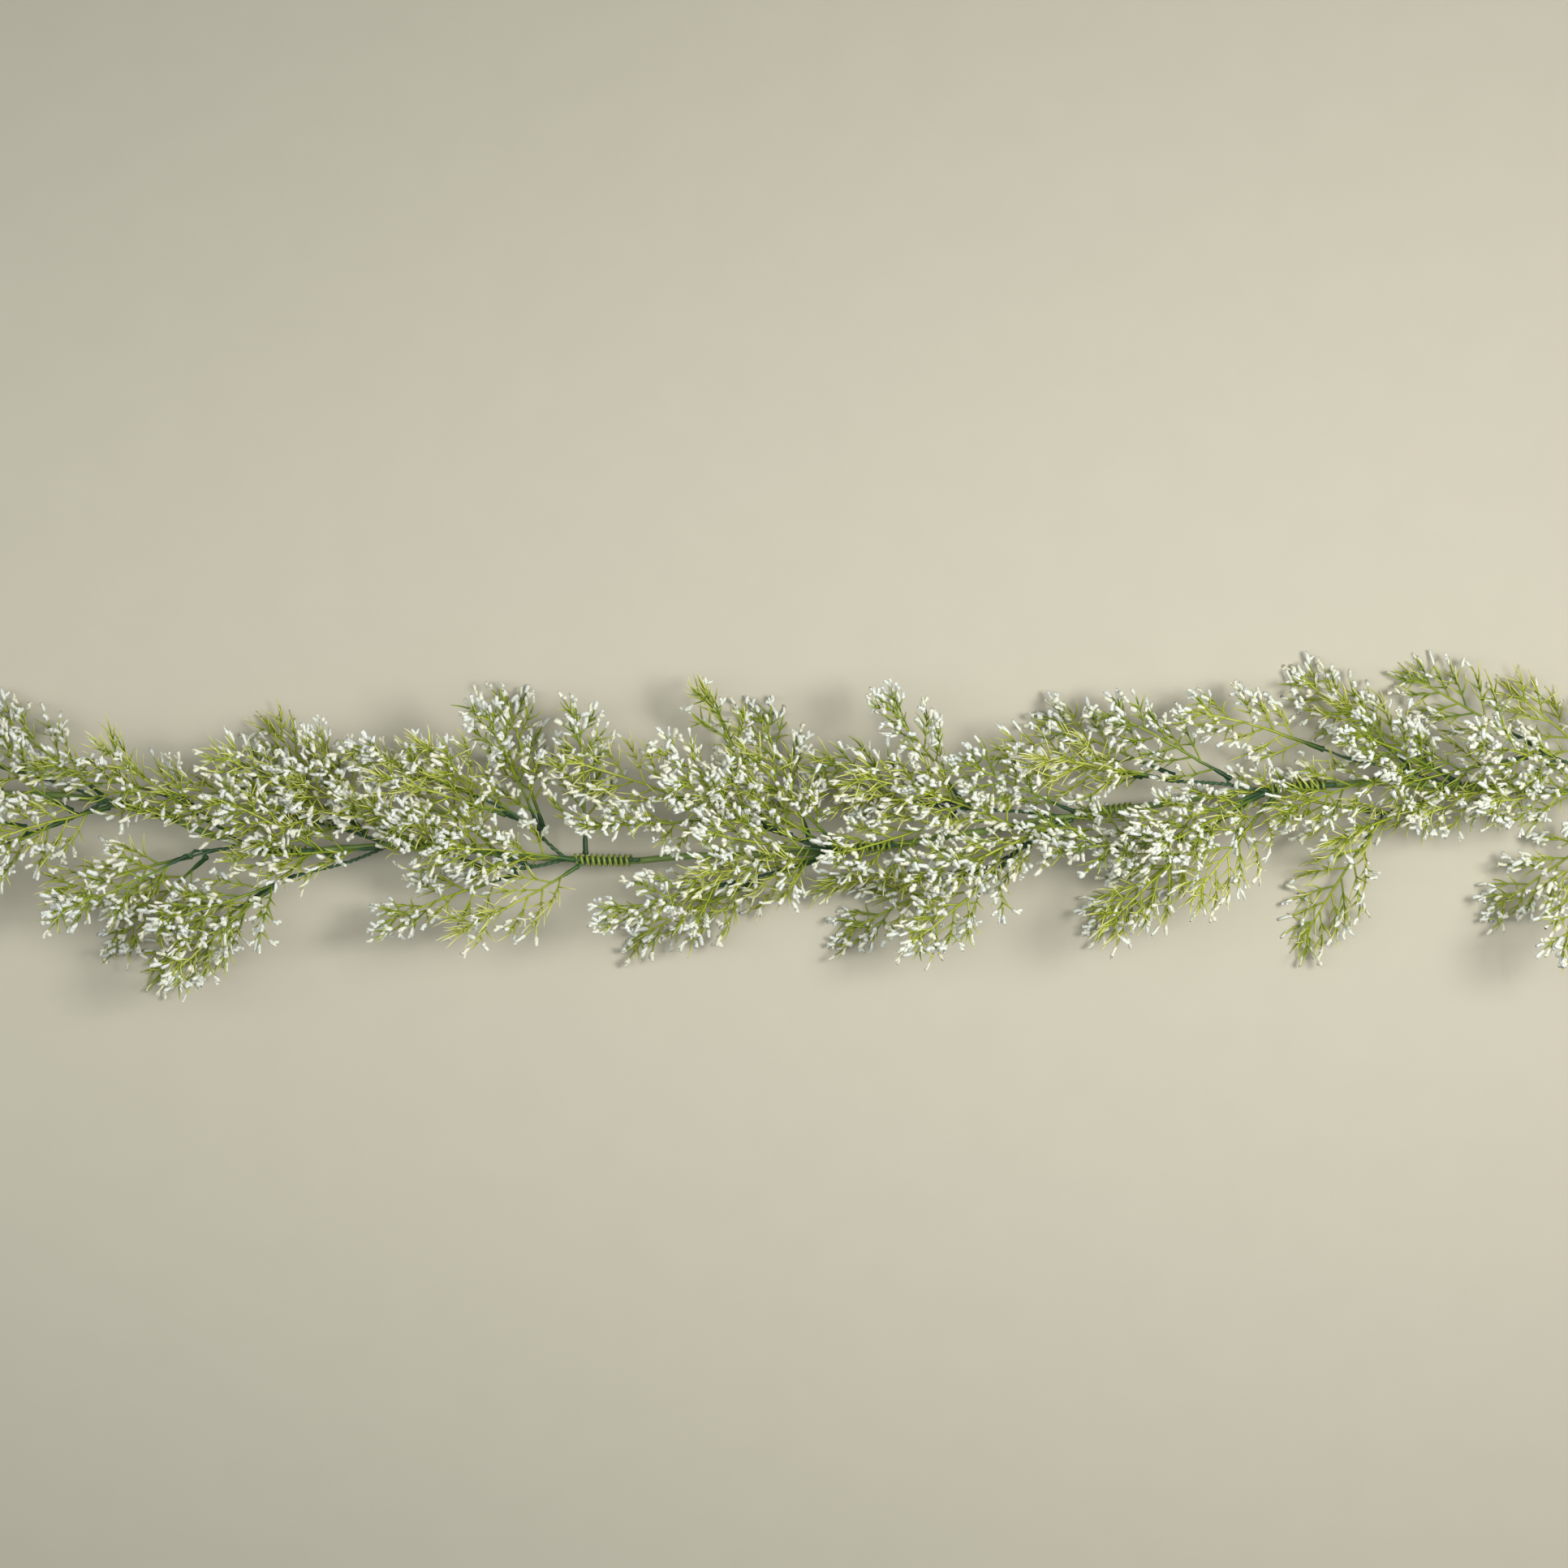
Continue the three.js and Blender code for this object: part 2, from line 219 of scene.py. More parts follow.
def closeEnds(mesh):
    # welds what meets, closes open ends with a face and turns every face outwards
    work = bmesh.new()
    work.from_mesh(mesh)
    bmesh.ops.remove_doubles(work, verts=work.verts, dist=weldWithin)
    bmesh.ops.holes_fill(work, edges=work.edges, sides=0)
    bmesh.ops.recalc_face_normals(work, faces=work.faces)
    work.to_mesh(mesh)
    work.free()


def vineFinish():
    finish = Finish("vineSleeve", Roughness=0.42)
    blotch = finish.noise(60, 3)
    streak = finish.noise(900, 3)
    base = finish.mix(blotch, wide(colour(70, 98, 38)), wide(colour(112, 138, 58)))
    finish.feed("Base Color", finish.mix(streak * 0.35, base, wide(colour(140, 155, 92))))
    finish.feed("Roughness", 0.36 + streak * 0.2)
    finish.bump(streak, 0.3, 0.0003)
    return finish.material


def bindingFinish():
    finish = Finish("bindingWire", Roughness=0.4)
    blotch = finish.noise(140, 3)
    base = finish.mix(blotch, wide(colour(104, 124, 38)), wide(colour(146, 160, 66)))
    finish.feed("Base Color", base)
    finish.feed("Roughness", 0.34 + finish.noise(700) * 0.2)
    finish.bump(finish.noise(1400, 3), 0.2, 0.0002)
    return finish.material


def stemFinish():
    finish = Finish("branchStem", Roughness=0.5)
    blotch = finish.noise(220, 4)
    dust = finish.noise(1100, 3)
    base = finish.mix(blotch, wide(colour(16, 48, 30)), wide(colour(52, 92, 54)))
    finish.feed("Base Color", finish.mix(dust * 0.25, base, wide(colour(96, 128, 78))))
    finish.feed("Roughness", 0.42 + dust * 0.25)
    finish.bump(dust, 0.5, 0.0004)
    return finish.material


def coreFinish():
    finish = Finish("coreWire", Metallic=1.0)
    drawn = finish.noise(800, 2)
    finish.feed("Base Color", finish.mix(drawn, wide(colour(120, 122, 120)), wide(colour(170, 172, 170))))
    finish.feed("Roughness", 0.3 + drawn * 0.25)
    return finish.material


def needleFinish():
    finish = Finish("sprigPlastic", Roughness=0.45)
    drift = finish.noise(120, 3)
    place = finish.value("shade") + (drift - 0.5) * 0.2
    stops = [
        (0.0, colour(20, 56, 30)), (0.14, colour(44, 82, 32)), (0.3, colour(98, 124, 22)),
        (0.52, colour(150, 163, 36)), (0.76, colour(204, 208, 104)), (1.0, colour(238, 235, 188)),
    ]
    finish.feed("Base Color", finish.node("ShaderNodeValToRGB", {"stops": stops}, {"Fac": place}))
    finish.feed("Roughness", 0.4 + finish.noise(900) * 0.2)
    finish.bump(finish.noise(1600, 2), 0.25, 0.0002)
    return finish.material


def flockFinish():
    finish = Finish("flock", Roughness=0.95)
    crumb = finish.noise(1500, 3)
    # the low spots of the crumb noise: one mask sets both the bump and the painted shade in the flock's pits
    pitDepthAndShade = finish.node("ShaderNodeMapRange", {}, {"Value": crumb, "From Min": 0.36, "From Max": 0.58})
    warm = finish.mix(finish.value("shade"), wide(colour(240, 244, 238)), wide(colour(248, 243, 214)))
    # painted shade: the flock is coloured greyer where it dips into its pits
    finish.feed("Base Color", finish.mix(pitDepthAndShade, wide(colour(200, 208, 194)), warm))
    finish.bump(pitDepthAndShade, 0.5, 0.0004)
    return finish.material


vineMaterial = vineFinish()
bindingMaterial = bindingFinish()
stemMaterial = stemFinish()
coreMaterial = coreFinish()
needleMaterial = needleFinish()
flockMaterial = flockFinish()
print("finishes made")


def cornersOf(node):
    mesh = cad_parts[node].data
    corners = np.zeros(len(mesh.vertices) * 3)
    mesh.vertices.foreach_get("co", corners)
    return np.unique(np.round(corners.reshape(-1, 3) / mm, 3), axis=0)


def centreLine(node, rings):
    # the middles of a tube's rings, in order along X
    corners = cornersOf(node)
    corners = corners[np.argsort(corners[:, 0])]
    groups = np.array_split(corners, rings)
    return np.array([group.mean(axis=0) for group in groups])


vineLine = centreLine("vine_sleeve", 53)
lowBinding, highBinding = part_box("binding_01")
# the lists below count from the middle of the layout; these move them onto the solids
layout = {"firstBindingX": 575, "levelX": 434, "levelY": 26}
shiftX = (lowBinding.x + highBinding.x) / 2 / mm - layout["firstBindingX"]
shiftY = np.interp(layout["levelX"] + shiftX, vineLine[:, 0], vineLine[:, 1]) - layout["levelY"]


def vineAt(x):
    return np.array([x] + [np.interp(x, vineLine[:, 0], vineLine[:, k]) for k in (1, 2)])


vine = {"radius": 2.15, "ridge": 0.13, "ridges": 9, "steps": 300, "bore": 1.2, "wall": 8}


def buildVine():
    ridged = outline(
        "ridgedSection",
        lambda angle: vine["radius"] - vine["ridge"] + vine["ridge"] * math.cos(vine["ridges"] * angle),
        vine["ridges"] * 3,
    )
    path = smoothPath(vineLine, vine["steps"])
    sideways = 0.25 * np.sin(path[:, 0] / 9)
    path[:, 2] += sideways * 0.5
    path[:, 1] += sideways
    mesh = strandMesh("vine", [(path, np.ones(len(path)), np.zeros(len(path)), 6)], profile=ridged)
    work = bmesh.new()
    work.from_mesh(mesh)
    bmesh.ops.remove_doubles(work, verts=work.verts, dist=weldWithin)
    for end in (-1, 1):
        rim = [edge for edge in work.edges if edge.is_boundary and edge.verts[0].co.x * end > 0]
        ring = set(vert for edge in rim for vert in edge.verts)
        middle = sum((vert.co for vert in ring), Vector()) / len(ring)
        shrink = Matrix.Diagonal((1, vine["bore"] / vine["radius"], vine["bore"] / vine["radius"], 1))
        inner = [item for item in bmesh.ops.extrude_edge_only(work, edges=rim)["geom"]
                 if isinstance(item, bmesh.types.BMVert)]
        bmesh.ops.transform(work, matrix=shrink, space=Matrix.Translation(-middle), verts=inner)
        innerRim = [edge for edge in work.edges if edge.is_boundary and edge.verts[0] in inner]
        deep = [item for item in bmesh.ops.extrude_edge_only(work, edges=innerRim)["geom"]
                if isinstance(item, bmesh.types.BMVert)]
        bmesh.ops.translate(work, verts=deep, vec=(-end * vine["wall"] * mm, 0, 0))
        last = [edge for edge in work.edges if edge.is_boundary and edge.verts[0] in deep]
        bmesh.ops.holes_fill(work, edges=last, sides=0)
    bmesh.ops.recalc_face_normals(work, faces=work.faces)
    work.to_mesh(mesh)
    work.free()
    addPiece("garlandVine", mesh, [vineMaterial], ["vine_sleeve"])


buildVine()
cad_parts["vine_core_wire"].data.materials[0] = coreMaterial
print("vine made")


branches = [
    {"at": 575, "side": 1, "reach": 88, "stray": 24, "forkReach": 62, "forkStray": -22},
    {"at": 455, "side": -1, "reach": 92, "stray": 16, "forkReach": 70, "forkStray": -20},
    {"at": 330, "side": 1, "reach": 84, "stray": 14, "forkReach": 74, "forkStray": -26},
    {"at": 205, "side": -1, "reach": 88, "stray": 16, "forkReach": 80, "forkStray": -26},
    {"at": 52, "side": 1, "reach": 92, "stray": 26, "forkReach": 76, "forkStray": -16},
    {"at": -116, "side": 1, "reach": 70, "stray": 32, "forkReach": 84, "forkStray": -14},
    {"at": -230, "side": -1, "reach": 84, "stray": 22, "forkReach": 92, "forkStray": -18},
    {"at": -325, "side": 1, "reach": 62, "stray": 18, "forkReach": 52, "forkStray": -14},
    {"at": -412, "side": 1, "reach": 86, "stray": 16, "forkReach": 74, "forkStray": -26},
    {"at": -520, "side": -1, "reach": 62, "stray": 16, "forkReach": 58, "forkStray": -24},
]
stem = {"radius": 1.3, "lobe": 0.3, "twistEvery": 13, "offset": 3.5, "splitAt": 22}
binding = {"turns": 10, "length": 36, "wire": 0.95, "halfWidth": 3.3, "halfHeight": 4.5, "perTurn": 16}


def besideVine(branch, back, stray, rise):
    point = vineAt(branch["at"] + shiftX - back)
    return point + np.array([0, stray, branch["side"] * stem["offset"] + rise])


def runsOf(branch):
    side = branch["side"]
    reach = branch["reach"]
    forkReach = branch["forkReach"]
    split = stem["splitAt"]
    forkFrom = split + 1
    main = [
        besideVine(branch, -24, 0, 0),
        besideVine(branch, 0, 0, 0),
        besideVine(branch, split, 0, 0),
        besideVine(branch, split + (reach - split) * 0.45, branch["stray"] * 0.5, side * 1.5),
        besideVine(branch, reach, branch["stray"], side * 2.5),
    ]
    fork = [
        besideVine(branch, forkFrom, 0, side * 0.2),
        besideVine(branch, forkFrom + (forkReach - forkFrom) * 0.4, branch["forkStray"] * 0.5, side * 1.2),
        besideVine(branch, forkReach, branch["forkStray"], side * 2),
    ]
    return [smoothPath(main, 110), smoothPath(fork, 60)]


for branch in branches:
    branch["runs"] = runsOf(branch)
    branch["pegs"] = []


def buildBinding(branch, number):
    count = binding["turns"] * binding["perTurn"]
    t = np.linspace(0, 1, count + 1)
    angle = 2 * math.pi * binding["turns"] * t
    middle = branch["side"] * stem["offset"] * 0.42
    points = np.array([vineAt(branch["at"] + shiftX + (along - 0.5) * binding["length"]) for along in t])
    points[:, 1] += binding["halfWidth"] * np.cos(angle)
    points[:, 2] += middle + binding["halfHeight"] * np.sin(angle)
    radii = np.full(count + 1, binding["wire"])
    radii[[0, -1]] *= 0.5
    mesh = strandMesh("binding", [(points, radii, np.zeros(count + 1), 0)], sides=8)
    closeEnds(mesh)
    addPiece(f"garlandBinding{number}", mesh, [bindingMaterial], [f"binding_{number}"])


def buildStem(branch, number):
    lobed = outline(
        "lobedSection",
        lambda angle: stem["radius"] - stem["lobe"] / 2 + stem["lobe"] * math.cos(3 * angle),
        12,
    )
    chance = np.random.default_rng(int(number) + 40)
    strands = []
    for index, run in enumerate(branch["runs"]):
        length = np.linalg.norm(np.diff(run, axis=0), axis=1).sum()
        taper = np.linspace(1, 0.82, len(run)) * (1 if index == 0 else 0.9)
        knots = 1 + chance.normal(0, 0.09, len(run))
        radii = taper * knots
        radii[[0, -1]] *= 0.35
        strands.append((run, radii, np.zeros(len(run)), length / stem["twistEvery"]))
    for foot, tip in branch["pegs"]:
        steps = np.linspace(0, 1, 7)[:, None]
        peg = foot + (tip - foot) * steps
        radii = np.array([0.95, 0.8, 0.66, 0.6, 0.58, 0.54, 0.3])
        strands.append((peg, radii, np.zeros(7), 0.6))
    mesh = strandMesh("stem", strands, profile=lobed)
    closeEnds(mesh)
    addPiece(f"garlandStem{number}", mesh, [stemMaterial], [f"branch_stem_{number}"])


sprig = {
    "length": 95, "sleeve": 11, "arms": 11, "firstArm": 15, "lastArm": 83, "armLong": 31, "armShort": 14,
    "lean": 54, "bowSide": 8, "bowDown": 6, "steepest": 28, "shallowest": 5, "reach": 106,
    "bowOver": 108, "pegInSleeve": 6, "spiral": 2.4,
}
frosted = {"needle": 12, "pale": 0.3, "flocked": 0.78, "girth": 1.22, "forked": 0.6}
leafy = {"needle": 14, "pale": 0.65, "flocked": 0.44, "girth": 1.05, "forked": 0.45}


def turnedBy(axis, angle):
    return np.array(Matrix.Rotation(angle, 3, Vector(axis)))


def leaning(direction, away, azimuth):
    # a unit vector at an angle to direction, turned round it
    along = Vector(direction).normalized()
    across = along.orthogonal().normalized()
    across.rotate(Matrix.Rotation(azimuth, 3, along))
    return np.array(along * math.cos(away) + across * math.sin(away))


def curling(start, direction, towards, length, curl, count):
    # a strand that starts one way and curls towards another
    points = [np.array(start, float)]
    heading = np.array(direction, float)
    for i in range(count - 1):
        heading = heading + np.array(towards) * (curl / (count - 1))
        heading = heading / np.linalg.norm(heading)
        points.append(points[-1] + heading * length / (count - 1))
    return np.array(points)


def growSprig(seed, kind):
    # one sprig lying along X; kind says how long and pale its needles are and how many carry flock
    chance = np.random.default_rng(seed)
    forward = np.array([1.0, 0, 0])
    strands = []
    flocks = []

    def addFlock(needle):
        # a finger of flock along the outer part of a needle, often with a knob beside it
        warm = chance.random() ** 1.6
        girth = kind["girth"] * chance.uniform(0.75, 1.25)
        spots = np.linspace(chance.uniform(1.5, 2.7), 4, 4)
        points = np.stack([np.interp(spots, range(5), needle[:, k]) for k in range(3)], axis=1)
        points[-1] += (needle[4] - needle[3]) * 0.25
        points[1:] += np.cumsum(chance.normal(0, 0.28, (3, 3)), axis=0)
        radii = girth * np.array([0.62, 1.05, 1.0, 0.9]) * chance.uniform(0.78, 1.22, 4)
        flocks.append((points, radii, np.full(4, warm), 0))
        if chance.random() < kind["forked"]:
            ahead = points[3] - points[1]
            aside = leaning(ahead, math.radians(chance.uniform(35, 75)), chance.uniform(0, 6.28))
            knob = points[chance.integers(1, 3)] + np.outer([0.3, 1.7, 3.3, 4.6], aside)
            fat = girth * np.array([0.6, 0.95, 1.0, 0.8]) * chance.uniform(0.8, 1.2, 4)
            flocks.append((knob, fat, np.full(4, warm), 0))

    def addNeedle(start, direction, length, pale, share):
        bend = forward * 0.4 + chance.normal(0, 0.6, 3)
        points = curling(start, direction, bend, length, chance.uniform(0.4, 1.1), 5)
        radii = 0.56 * np.array([1.0, 0.98, 0.86, 0.66, 0.3])
        shades = np.linspace(0.34, 0.6 + pale * 0.4, 5) + chance.normal(0, 0.05)
        strands.append((points, radii, shades, 0))
        if chance.random() < kind["flocked"] * share:
            addFlock(points)

    # the socket sleeve and the tapering rachis
    reach = np.array([0, 0.4, 1.8, 2.4, 9.5, 12.5, 14, 30, 48, 66, 84, sprig["length"]])
    girths = np.array([1.45, 2.0, 2.0, 1.7, 1.6, 1.2, 1.05, 0.95, 0.85, 0.72, 0.6, 0.3])
    hue = np.array([0.02, 0.02, 0.03, 0.04, 0.06, 0.1, 0.16, 0.36, 0.46, 0.52, 0.56, 0.7])
    finer = np.concatenate([reach[:7], np.linspace(18, sprig["length"], 16)])
    spine = np.stack([finer, np.zeros(len(finer)), np.zeros(len(finer))], axis=1)
    wander = np.cumsum(chance.normal(0, 0.25, (16, 2)), axis=0)
    spine[7:, 1:] += wander - wander[0] * np.linspace(1, 0, 16)[:, None]
    strands.append((spine, np.interp(finer, reach, girths), np.interp(finer, reach, hue), 0))

    def onSpine(x):
        return np.array([x, np.interp(x, finer, spine[:, 1]), np.interp(x, finer, spine[:, 2])])

    # the side arms, each with a brush of needles that thickens towards its end
    for i in range(sprig["arms"]):
        share = i / (sprig["arms"] - 1)
        place = sprig["firstArm"] + share * (sprig["lastArm"] - sprig["firstArm"])
        start = onSpine(place + chance.normal(0, 1.2))
        azimuth = (90 if i % 2 else -90) + chance.uniform(-42, 42)
        lean = math.radians(sprig["lean"] + chance.uniform(-9, 9) - 12 * share)
        outward = turnedBy((1, 0, 0), math.radians(azimuth)) @ np.array([math.cos(lean), 0, math.sin(lean)])
        shorter = (sprig["armLong"] - sprig["armShort"]) * share ** 1.3
        length = (sprig["armLong"] - shorter) * chance.uniform(0.8, 1.12)
        arm = curling(start, outward, forward, length, chance.uniform(0.1, 0.55), 8)
        tone = chance.uniform(0.36, 0.52)
        strands.append((arm, np.linspace(0.72, 0.42, 8), np.linspace(tone - 0.05, tone + 0.08, 8), 0))
        pale = kind["pale"] + chance.uniform(-0.3, 0.3)
        count = 10 if share < 0.7 else 7
        for j in range(count):
            spot = 0.36 + 0.64 * ((j // 3) * 3 / (count - 1)) ** 0.8 + 0.03 * (j % 3)
            spot = min(spot, 1)
            at = np.array([np.interp(spot * 7, range(8), arm[:, k]) for k in range(3)])
            near = arm[min(int(spot * 7) + 1, 7)] - arm[min(int(spot * 7), 6)]
            away = math.radians(chance.uniform(24, 62)) * (1 if j < count - 1 else 0.2)
            direction = leaning(near, away, j * sprig["spiral"] + chance.uniform(-0.5, 0.5))
            reachOut = kind["needle"] * chance.uniform(0.75, 1.15)
            addNeedle(at, direction, reachOut, pale, 0.25 + 0.9 * spot ** 1.5)

    # the brush at the end of the rachis
    for j in range(11):
        start = onSpine(sprig["length"] - 20 + j * 1.8)
        away = math.radians(chance.uniform(14, 50) * (1 - j / 20))
        direction = leaning(forward, away, j * sprig["spiral"])
        addNeedle(start, direction, kind["needle"] * chance.uniform(0.7, 1), kind["pale"], 1)

    mesh = strandMesh("sprigForm", strands)
    closeEnds(mesh)
    crust = strandMesh("sprigFlock", flocks, sides=6)
    closeEnds(crust)
    crust.polygons.foreach_set("material_index", np.ones(len(crust.polygons), int))
    work = bmesh.new()
    work.from_mesh(crust)
    for vert in work.verts:
        vert.co += Vector(chance.normal(0, 0.2, 3)) * mm
    work.from_mesh(mesh)
    work.to_mesh(mesh)
    work.free()
    bpy.data.meshes.remove(crust)
    return mesh


def directionFrame(start, direction):
    along = np.array(direction) / np.linalg.norm(direction)
    across = np.array([-along[1], along[0], 0])
    across = across / np.linalg.norm(across)
    up = np.cross(along, across)
    return np.array(start), np.stack([along, across, up], axis=1)


# needles spread out on the ground, and the highest ones are pressed down
rest = {"low": 0.6, "high": 84, "give": 0.06}


def plantSprig(form, name, start, direction, side, roll, bows, tone, replaced=()):
    # a copy of a form, bowed, rolled and set on its peg
    mesh = form.copy()
    count = len(mesh.vertices)
    spots = np.zeros(count * 3)
    mesh.vertices.foreach_get("co", spots)
    spots = spots.reshape(-1, 3) / mm
    turn = turnedBy((1, 0, 0), roll)
    spots = spots @ turn.T
    along = np.maximum(spots[:, 0] - sprig["sleeve"], 0) / sprig["bowOver"]
    spots[:, 1] += side * bows[0] * along ** 2
    spots[:, 2] -= bows[1] * along ** 2
    origin, axes = directionFrame(start, direction)
    spots = spots @ axes.T + origin
    height = spots[:, 2]
    height = np.where(height < rest["low"], rest["low"] + (height - rest["low"]) * rest["give"], height)
    height = np.where(height > rest["high"], rest["high"] + (height - rest["high"]) * rest["give"], height)
    spots[:, 2] = height
    mesh.vertices.foreach_set("co", (spots * mm).ravel())
    shades = np.zeros(count)
    mesh.attributes["shade"].data.foreach_get("value", shades)
    mesh.attributes["shade"].data.foreach_set("value", shades + tone)
    mesh.update()
    return addPiece(name, mesh, [needleMaterial, flockMaterial], replaced)


# where a sprig's solid is looked at, in mm from its foot
probe = {"narrowEnd": 9, "foot": 1.2, "mouthFrom": 10.4, "mouthTo": 12.6}


def readSprig(node):
    # a placed sprig's socket, direction and bow, read from its solid
    corners = cornersOf(node)
    centred = corners - corners.mean(axis=0)
    axis = np.linalg.svd(centred, full_matrices=False)[2][0]
    best = None
    for sign in (1, -1):
        along = corners @ (axis * sign)
        near = corners[along < along.min() + probe["narrowEnd"]]
        spread = np.linalg.norm(near - near.mean(axis=0), axis=1)
        across = np.sqrt(np.maximum(spread ** 2 - ((near - near.mean(axis=0)) @ axis) ** 2, 0)).max()
        if best is None or across < best[0]:
            best = (across, corners[along < along.min() + probe["foot"]].mean(axis=0))
    start = best[1]
    away = np.linalg.norm(corners - start, axis=1)
    far = corners[(away > probe["mouthFrom"]) & (away < probe["mouthTo"])].mean(axis=0)
    direction = (far - start) / np.linalg.norm(far - start)
    tip = corners[away.argmax()] - start
    side = 1 if directionFrame(start, direction)[1][:, 1] @ tip > 0 else -1
    return start, direction, side


def nearestOnStems(point):
    best = None
    for branch in branches:
        for run in branch["runs"]:
            usable = run[len(run) // 3:-1]
            gaps = np.linalg.norm((usable - point)[:, :2], axis=1)
            index = gaps.argmin()
            if best is None or gaps[index] < best[0]:
                tangent = usable[min(index + 1, len(usable) - 1)] - usable[max(index - 1, 0)]
                best = (gaps[index], branch, usable[index], tangent / np.linalg.norm(tangent))
    return best[1:]


# sprigs beyond the solids, on the bare pegs: where each is rooted and where its tip lies, in mm
looseSprigs = [
    (350, 30, 265, 80), (365, 15, 265, 30), (430, 25, 350, -10), (485, 15, 390, 0), (350, 10, 280, -15),
    (215, 10, 150, 25), (255, 10, 170, -20), (280, -20, 220, -45), (160, -30, 100, -60),
    (115, -20, 20, -35), (115, 15, 90, 50), (110, 10, 10, 25), (-5, 20, -50, 100), (35, -15, -25, 20),
    (50, -15, -55, -35), (-45, -15, -130, -5), (-105, 5, -130, 100), (-165, 15, -255, 35),
    (20, 10, -70, 35), (-230, -35, -345, -20), (-240, -10, -300, 30), (-285, -15, -345, 15),
    (-360, -20, -470, -40), (-325, -30, -360, -65), (-390, 0, -450, 40), (-430, -10, -515, -10),
    (-545, 5, -640, 10), (-480, -15, -575, -40), (540, 25, 440, 20), (-500, 20, -575, 60),
    (-440, 5, -500, 40), (-385, -25, -450, -55), (-350, 5, -420, 40), (-310, -25, -375, -55),
    (-275, 15, -345, 40), (-235, 10, -300, 50), (-200, 10, -260, 50), (-150, 10, -215, 45),
    (-130, 20, -180, 60), (-75, 10, -140, 50), (-40, -25, -110, -50), (0, 10, -70, 45), (75, -10, 5, 20),
    (100, -5, 30, -25), (135, 10, 65, 30), (165, -5, 95, 25), (205, 10, 130, -15), (240, 10, 180, 45),
    (310, 10, 240, 0), (395, 25, 315, 15), (460, 25, 390, 50), (520, 20, 440, 50), (-100, -35, -195, -65),
    (-160, -20, -240, 0), (-190, -10, -270, 10), (-120, -20, -200, -10),
]


def headingOf(heading, lift):
    turn = math.radians(heading)
    raised = math.radians(lift)
    return np.array([math.cos(raised) * math.cos(turn), math.cos(raised) * math.sin(turn), math.sin(raised)])


def aimAt(foot, tip):
    # the heading and lift in degrees that put a sprig's tip over a spot
    across = (tip - foot)[:2]
    reach = min(np.linalg.norm(across) / sprig["reach"], 1)
    lift = min(max(math.degrees(math.acos(reach)), sprig["shallowest"]), sprig["steepest"])
    return math.degrees(math.atan2(across[1], across[0])), lift


kinds = [frosted, leafy, frosted, frosted, leafy]
forms = [growSprig(seed + 1, kind) for seed, kind in enumerate(kinds)]
print("sprig forms made:", [len(form.polygons) for form in forms])

# how far a sprig stands off its stem, more where it leans along it
stand = {"clear": 4.1, "least": 4.5, "most": 18, "leanLimit": 0.2}
chance = np.random.default_rng(7)
sprigNodes = sorted(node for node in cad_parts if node.startswith("sprig_"))
for index, node in enumerate(sprigNodes):
    start, direction, side = readSprig(node)
    branch, foot, tangent = nearestOnStems(start)
    branch["pegs"].append((foot, start + direction * sprig["pegInSleeve"]))
    bows = (sprig["bowSide"] * chance.uniform(0.4, 1), sprig["bowDown"] * chance.uniform(0.4, 1))
    tone = chance.uniform(-0.05, 0.1)
    plantSprig(forms[index % len(forms)], f"garlandSprig{index + 1:02d}", start, direction, side,
               chance.uniform(-0.5, 0.5), bows, tone, [node])

for index, (x, y, tipX, tipY) in enumerate(looseSprigs):
    branch, foot, tangent = nearestOnStems(np.array([x + shiftX, y + shiftY, 0]))
    heading, lift = aimAt(foot, np.array([tipX + shiftX, tipY + shiftY, 0]))
    direction = headingOf(heading, lift)
    lean = max(abs(math.sin(math.acos(abs(float(direction @ tangent))))), stand["leanLimit"])
    start = foot + direction * min(max(stand["clear"] / lean, stand["least"]), stand["most"])
    branch["pegs"].append((foot, start + direction * sprig["pegInSleeve"]))
    bows = (sprig["bowSide"] * chance.uniform(-1.6, 1.6), lift * chance.uniform(0.2, 0.6))
    plantSprig(forms[(index + 2) % len(forms)], f"garlandSprigTop{index + 1:02d}", start, direction, 1,
               chance.uniform(-1.2, 1.2), bows, chance.uniform(-0.04, 0.14))
print("sprigs planted:", len(sprigNodes) + len(looseSprigs))

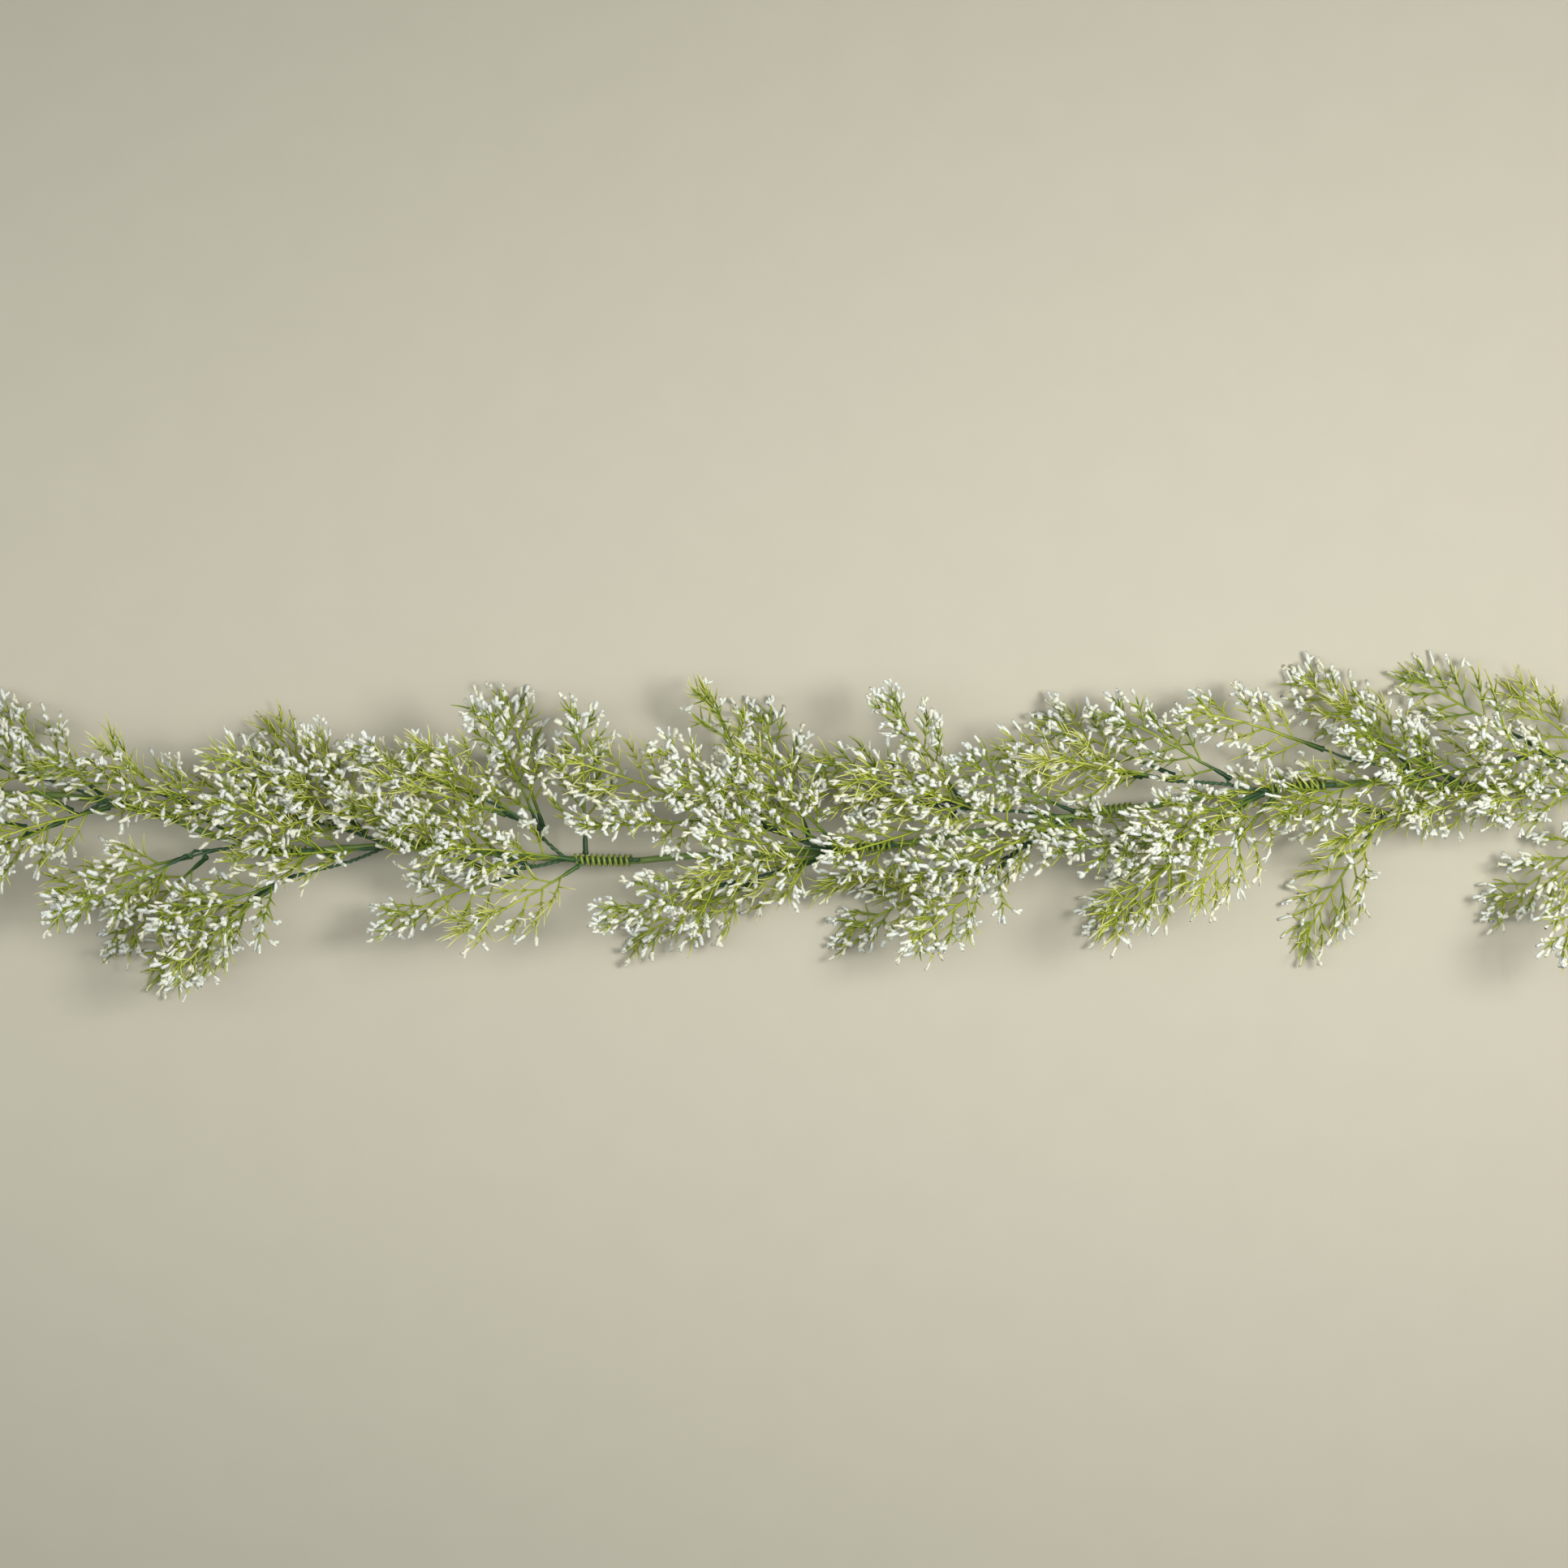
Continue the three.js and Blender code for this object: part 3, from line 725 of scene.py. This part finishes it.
for index, branch in enumerate(branches):
    number = f"{index + 1:02d}"
    buildStem(branch, number)
    buildBinding(branch, number)
print("stems and bindings made")


def buildStage():
    work = bmesh.new()
    bmesh.ops.create_grid(work, x_segments=1, y_segments=1, size=4)
    mesh = bpy.data.meshes.new("floor")
    work.to_mesh(mesh)
    work.free()
    floor = bpy.data.objects.new("floor", mesh)
    bpy.context.scene.collection.objects.link(floor)
    finish = Finish("paper", Roughness=0.9)
    tooth = finish.noise(30, 3)
    finish.feed("Base Color", finish.mix(tooth, wide(colour(186, 182, 164)), wide(colour(190, 186, 168))))
    mesh.materials.append(finish.material)


def addLamp(name, place, aim, size, watts, tint):
    light = bpy.data.lights.new(name, "AREA")
    light.shape = "RECTANGLE"
    light.size, light.size_y = size
    light.energy = watts
    light.color = tint
    lamp = bpy.data.objects.new(name, light)
    lamp.location = place
    lamp.rotation_euler = (Vector(aim) - Vector(place)).to_track_quat("-Z", "Y").to_euler()
    lamp.visible_camera = False
    bpy.context.scene.collection.objects.link(lamp)


def addCamera():
    view = {"across": 1.0046, "height": 2.4, "centreY": 28}
    lens = bpy.data.cameras.new("camera")
    lens.sensor_width = 36
    lens.lens = 36 * (view["height"] - 0.03) / view["across"]
    camera = bpy.data.objects.new("camera", lens)
    camera.location = (shiftX * mm, (view["centreY"] + shiftY) * mm, view["height"])
    bpy.context.scene.collection.objects.link(camera)
    bpy.context.scene.camera = camera


buildStage()
addLamp("softKey", (1.0, 0.15, 1.35), (-0.15, 0, 0), (0.5, 0.5), 18, (1.0, 0.98, 0.94))
addLamp("softStrip", (-0.5, 0.03, 0.8), (-0.5, 0.03, 0), (2.4, 0.3), 7.0, (0.99, 0.98, 0.99))
world = bpy.data.worlds.new("studio")
world.use_nodes = True
world.node_tree.nodes["Background"].inputs["Color"].default_value = (0.95, 0.97, 1.0, 1)
world.node_tree.nodes["Background"].inputs["Strength"].default_value = 0.28
bpy.context.scene.world = world
bpy.context.scene.view_settings.view_transform = "Standard"
addCamera()
